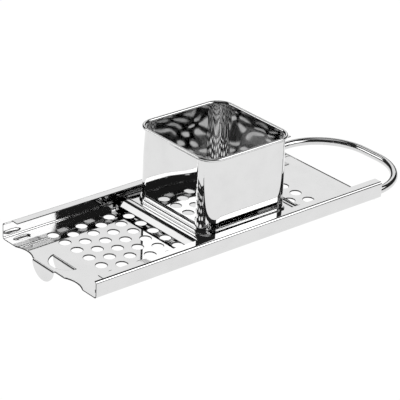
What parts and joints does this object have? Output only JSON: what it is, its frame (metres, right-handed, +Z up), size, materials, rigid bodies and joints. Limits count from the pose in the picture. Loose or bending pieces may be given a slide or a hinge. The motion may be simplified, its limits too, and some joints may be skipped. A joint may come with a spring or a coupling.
{
  "type": "spaetzle maker with sliding dough hopper",
  "caption": "Flat perforated steel tray with side rails, a pot hook and a rod handle; a square dough hopper slides along the rails.",
  "frame": {"origin": "on the underside of the tray's base, midway along the rails and midway between them", "axes": "+X along the tray towards the handle, +Y across the tray, +Z up, out of the open side of the rails"},
  "size_m": [0.3081, 0.107, 0.0772],
  "materials": {
    "tray": "mirror-polished stainless steel sheet",
    "handle": "mirror-polished stainless steel rod",
    "hopper": "mirror-polished stainless steel sheet",
    "slide_plate": "mirror-polished stainless steel sheet"
  },
  "bodies": {
    "tray": {"tray": "tray", "handle": "handle"},
    "hopper": {"hopper": "hopper", "slide_plate": "slide_plate"}
  },
  "joints": [
    {"name": "hopper_slide", "type": "slide", "parent": "tray", "child": "hopper", "axis": [1, 0, 0], "range_m": [-0.073, 0.037]}
  ]
}
